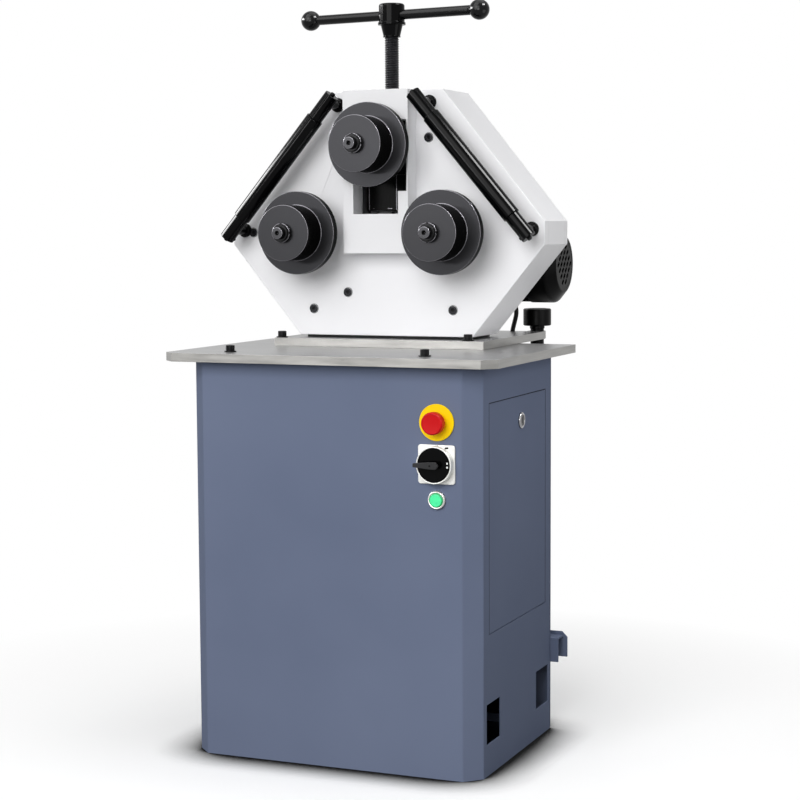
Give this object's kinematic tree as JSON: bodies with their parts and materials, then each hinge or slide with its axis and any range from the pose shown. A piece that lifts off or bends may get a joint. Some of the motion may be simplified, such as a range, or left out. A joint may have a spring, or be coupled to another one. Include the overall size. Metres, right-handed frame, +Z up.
{
  "type": "ring roller",
  "caption": "Motor-driven ring and section roller on a sheet steel cabinet: geared lower rollers, an upper roller on a hand-screwed slide, and a head that tilts back on its hinge",
  "frame": {"origin": "middle of the cabinet's underside, on the floor", "axes": "+Z up, -Y towards the operator and the rollers, +X to the operator's right, in metres"},
  "size_m": [0.6, 0.604, 1.29],
  "materials": {
    "cabinet_paint": "fine textured blue-grey powder coat",
    "white_paint": "smooth semi-gloss white paint",
    "black_oxide": "turned steel, blackened",
    "gear_steel": "machined steel with a film of oil",
    "brushed_steel": "ground raw steel plate",
    "bronze": "turned bearing bronze",
    "chrome": "polished chrome plate",
    "grey_casting": "painted casting",
    "black_casting": "black painted finned aluminium",
    "black_plastic": "satin black moulded plastic and paint",
    "yellow_plastic": "satin yellow",
    "red_plastic": "moulded red",
    "green_plastic": "moulded green, lit",
    "silver_plastic": "silver grey moulding",
    "black_rubber": "matt cable sheath"
  },
  "bodies": {
    "stand": {"cabinet_shell": "cabinet_paint", "floor_pan": "cabinet_paint", "back_panel": "cabinet_paint", "panel_frame": "cabinet_paint", "cable_hook": "cabinet_paint", "control_box": "grey_casting", "estop_base": "yellow_plastic", "selector_plate": "silver_plastic", "button_bezel": "chrome", "table_plate": "brushed_steel", "table_screw_left": "black_oxide", "table_screw_right": "black_oxide", "hinge_rod": "brushed_steel"},
    "panel_body": {"service_panel": "cabinet_paint"},
    "lock_body": {"panel_lock": "chrome"},
    "estop_body": {"estop_button": "red_plastic"},
    "selector_body": {"selector_dial": "black_plastic"},
    "start_body": {"start_button": "green_plastic"},
    "head": {"base_plate": "brushed_steel", "clamp_screw_left": "black_oxide", "clamp_screw_right": "black_oxide", "head_spacer": "black_oxide", "front_plate": "white_paint", "rear_plate": "white_paint", "side_cover": "white_paint", "centre_cover": "white_paint", "left_slideway": "black_oxide", "right_slideway": "black_oxide", "spindle_nut": "bronze", "left_front_bearing": "bronze", "left_rear_bearing": "bronze", "right_front_bearing": "bronze", "right_rear_bearing": "bronze", "guide_bar_frame_left": "black_oxide", "guide_bar_frame_right": "black_oxide", "gearbox": "grey_casting", "motor": "black_casting", "fan_cover": "black_oxide", "motor_cable": "black_rubber"},
    "stop_screw_body": {"stop_screw": "black_plastic"},
    "left_roller_body": {"left_shaft": "black_oxide", "left_roller": "black_oxide", "left_roller_nut": "black_oxide", "left_gear": "gear_steel"},
    "right_roller_body": {"right_shaft": "black_oxide", "right_roller": "black_oxide", "right_roller_nut": "black_oxide", "right_gear": "gear_steel"},
    "pinion_body": {"drive_pinion": "gear_steel"},
    "slide_body": {"slide_block": "black_oxide", "slide_cap": "gear_steel", "top_bearing": "bronze"},
    "top_roller_body": {"top_shaft": "black_oxide", "top_roller": "black_oxide", "top_roller_nut": "black_oxide"},
    "spindle_body": {"spindle": "black_oxide", "handle_bar": "black_plastic"},
    "left_sleeve_body": {"left_sleeve": "black_plastic"},
    "right_sleeve_body": {"right_sleeve": "black_plastic"},
    "fan_body": {"fan": "black_plastic"}
  },
  "joints": [
    {"name": "head_tilt", "type": "hinge", "parent": "stand", "child": "head", "pos_m": [0, 0.22, 0.682], "axis": [-1, 0, 0], "range_deg": [0, 90]},
    {"name": "stop_screw_turn", "type": "hinge", "parent": "head", "child": "stop_screw_body", "pos_m": [0.177, 0.362, 0.7], "axis": [0, 0, 1], "continuous": true},
    {"name": "left_roller_spin", "type": "hinge", "parent": "head", "child": "left_roller_body", "pos_m": [-0.135, 0, 0.892], "axis": [0, 1, 0], "continuous": true},
    {"name": "right_roller_spin", "type": "hinge", "parent": "head", "child": "right_roller_body", "pos_m": [0.135, 0, 0.892], "axis": [0, 1, 0], "continuous": true},
    {"name": "drive_pinion_spin", "type": "hinge", "parent": "head", "child": "pinion_body", "pos_m": [0, 0, 0.7822], "axis": [0, 1, 0], "continuous": true},
    {"name": "upper_slide", "type": "slide", "parent": "head", "child": "slide_body", "axis": [0, 0, 1], "range_m": [-0.085, 0]},
    {"name": "spindle_turn", "type": "hinge", "parent": "slide_body", "child": "spindle_body", "pos_m": [0, 0.09, 1.1], "axis": [0, 0, 1], "range_deg": [-7640, 0]},
    {"name": "top_roller_spin", "type": "hinge", "parent": "slide_body", "child": "top_roller_body", "pos_m": [0, 0, 1.042], "axis": [0, 1, 0], "continuous": true},
    {"name": "left_sleeve_spin", "type": "hinge", "parent": "head", "child": "left_sleeve_body", "pos_m": [-0.1795, 0.001, 1.0058], "axis": [-0.6481, 0, -0.7616], "continuous": true},
    {"name": "right_sleeve_spin", "type": "hinge", "parent": "head", "child": "right_sleeve_body", "pos_m": [0.1795, 0.001, 1.0058], "axis": [0.6481, 0, -0.7616], "continuous": true},
    {"name": "fan_spin", "type": "hinge", "parent": "head", "child": "fan_body", "pos_m": [0.22, 0.25, 0.833], "axis": [1, 0, 0], "continuous": true},
    {"name": "panel_lift_off", "type": "slide", "parent": "stand", "child": "panel_body", "axis": [1, 0, 0], "range_m": [0, 0.15]},
    {"name": "lock_turn", "type": "hinge", "parent": "panel_body", "child": "lock_body", "pos_m": [0.262, 0.024, 0.5736], "axis": [-1, 0, 0], "range_deg": [0, 90]},
    {"name": "estop_press", "type": "slide", "parent": "stand", "child": "estop_body", "axis": [0, 1, 0], "range_m": [0, 0.004]},
    {"name": "selector_turn", "type": "hinge", "parent": "stand", "child": "selector_body", "pos_m": [0.1924, -0.19, 0.52], "axis": [0, 1, 0], "range_deg": [0, 90]},
    {"name": "start_press", "type": "slide", "parent": "stand", "child": "start_body", "axis": [0, 1, 0], "range_m": [0, 0.003], "stiffness_N_per_m": 400}
  ],
  "couplings": [
    {"joint": "right_roller_spin", "follows": "left_roller_spin", "ratio": 1},
    {"joint": "drive_pinion_spin", "follows": "left_roller_spin", "ratio": -2.2222},
    {"joint": "upper_slide", "follows": "spindle_turn", "m_per_rad": 0.00063662}
  ]
}
